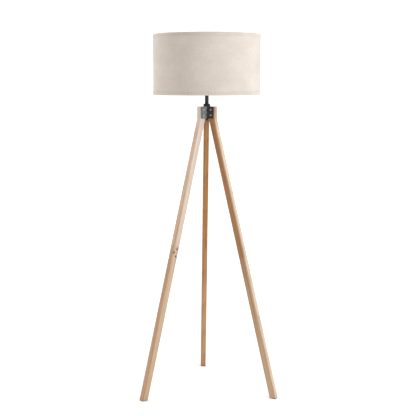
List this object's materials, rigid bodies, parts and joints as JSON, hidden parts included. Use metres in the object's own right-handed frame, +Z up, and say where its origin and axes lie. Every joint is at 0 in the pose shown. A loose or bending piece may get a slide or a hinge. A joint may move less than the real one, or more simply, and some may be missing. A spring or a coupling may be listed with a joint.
{
  "type": "tripod floor lamp",
  "caption": "Tripod floor lamp: slanting wooden legs in half-lapped sections, a bent steel hub bracket, a short pole and a drum shade.",
  "frame": {"origin": "on the floor under the lamp's own axis, at the middle of the three feet's circle", "axes": "+Z up along the pole; +Y towards the back leg; +X to the right, so the front left and front right legs lie at 210 and 330 degrees about +Z"},
  "size_m": [0.582, 0.555, 1.52],
  "materials": {
    "leg_wood": "pale hardwood, clear matt lacquer, fine grain along the leg",
    "foot_felt": "brown felt",
    "bracket_paint": "satin black powder coat",
    "pole_paint": "satin black powder coat",
    "screw_steel": "plain button heads",
    "lap_screw_steel": "dark oxide button heads",
    "zinc_steel": "zinc plated threaded tube",
    "black_plastic": "black moulded plastic",
    "ceramic": "white glazed porcelain",
    "brass": "bare brass strip",
    "shade_wire": "white enamelled wire",
    "shade_liner": "white translucent styrene sheet",
    "shade_cloth": "warm off-white woven cloth, slubbed",
    "shade_hem": "the same cloth, folded over the edges",
    "bulb_glass": "opal white glass",
    "bulb_metal": "plain"
  },
  "bodies": {
    "stand": {"upper_leg_back": "leg_wood", "lower_leg_back": "leg_wood", "foot_pad_back": "foot_felt", "lap_screws_back": "lap_screw_steel", "lap_inserts_back": "lap_screw_steel", "bracket_screws_back": "screw_steel", "sleeve_nuts_back": "screw_steel", "upper_leg_left": "leg_wood", "lower_leg_left": "leg_wood", "foot_pad_left": "foot_felt", "lap_screws_left": "lap_screw_steel", "lap_inserts_left": "lap_screw_steel", "bracket_screws_left": "screw_steel", "sleeve_nuts_left": "screw_steel", "upper_leg_right": "leg_wood", "lower_leg_right": "leg_wood", "foot_pad_right": "foot_felt", "lap_screws_right": "lap_screw_steel", "lap_inserts_right": "lap_screw_steel", "bracket_screws_right": "screw_steel", "sleeve_nuts_right": "screw_steel", "bracket_plate_front": "bracket_paint", "bracket_plate_right": "bracket_paint", "bracket_plate_left": "bracket_paint", "hub_tube": "bracket_paint", "pole_collar": "pole_paint", "pole": "pole_paint", "hub_nipple": "zinc_steel", "hub_washer": "bracket_paint", "hub_nut": "bracket_paint", "cord_bush": "black_plastic", "holder_nipple": "zinc_steel", "holder_cap": "black_plastic", "holder_base": "ceramic", "holder_terminals": "brass", "screw_shell": "brass", "centre_contact": "brass", "holder_skirt": "black_plastic"},
    "clamp_ring": {"shade_clamp_ring": "black_plastic"},
    "shade": {"shade_spider": "shade_wire", "shade_top_ring": "shade_wire", "shade_liner": "shade_liner", "shade_fabric": "shade_cloth", "shade_top_hem": "shade_hem", "shade_bottom_hem": "shade_hem"},
    "bulb": {"bulb_glass": "bulb_glass", "bulb_cap": "bulb_metal", "bulb_insulator": "black_plastic", "bulb_contact": "bulb_metal"}
  },
  "joints": [
    {"name": "shade_turn", "type": "hinge", "parent": "stand", "child": "shade", "pos_m": [0, 0, 1.33], "axis": [0, 0, 1], "continuous": true},
    {"name": "clamp_ring_turn", "type": "hinge", "parent": "stand", "child": "clamp_ring", "pos_m": [0, 0, 1.332], "axis": [0, 0, 1], "range_deg": [0, 720]},
    {"name": "bulb_turn", "type": "hinge", "parent": "stand", "child": "bulb", "pos_m": [0, 0, 1.345], "axis": [0, 0, 1], "range_deg": [0, 1080]}
  ]
}
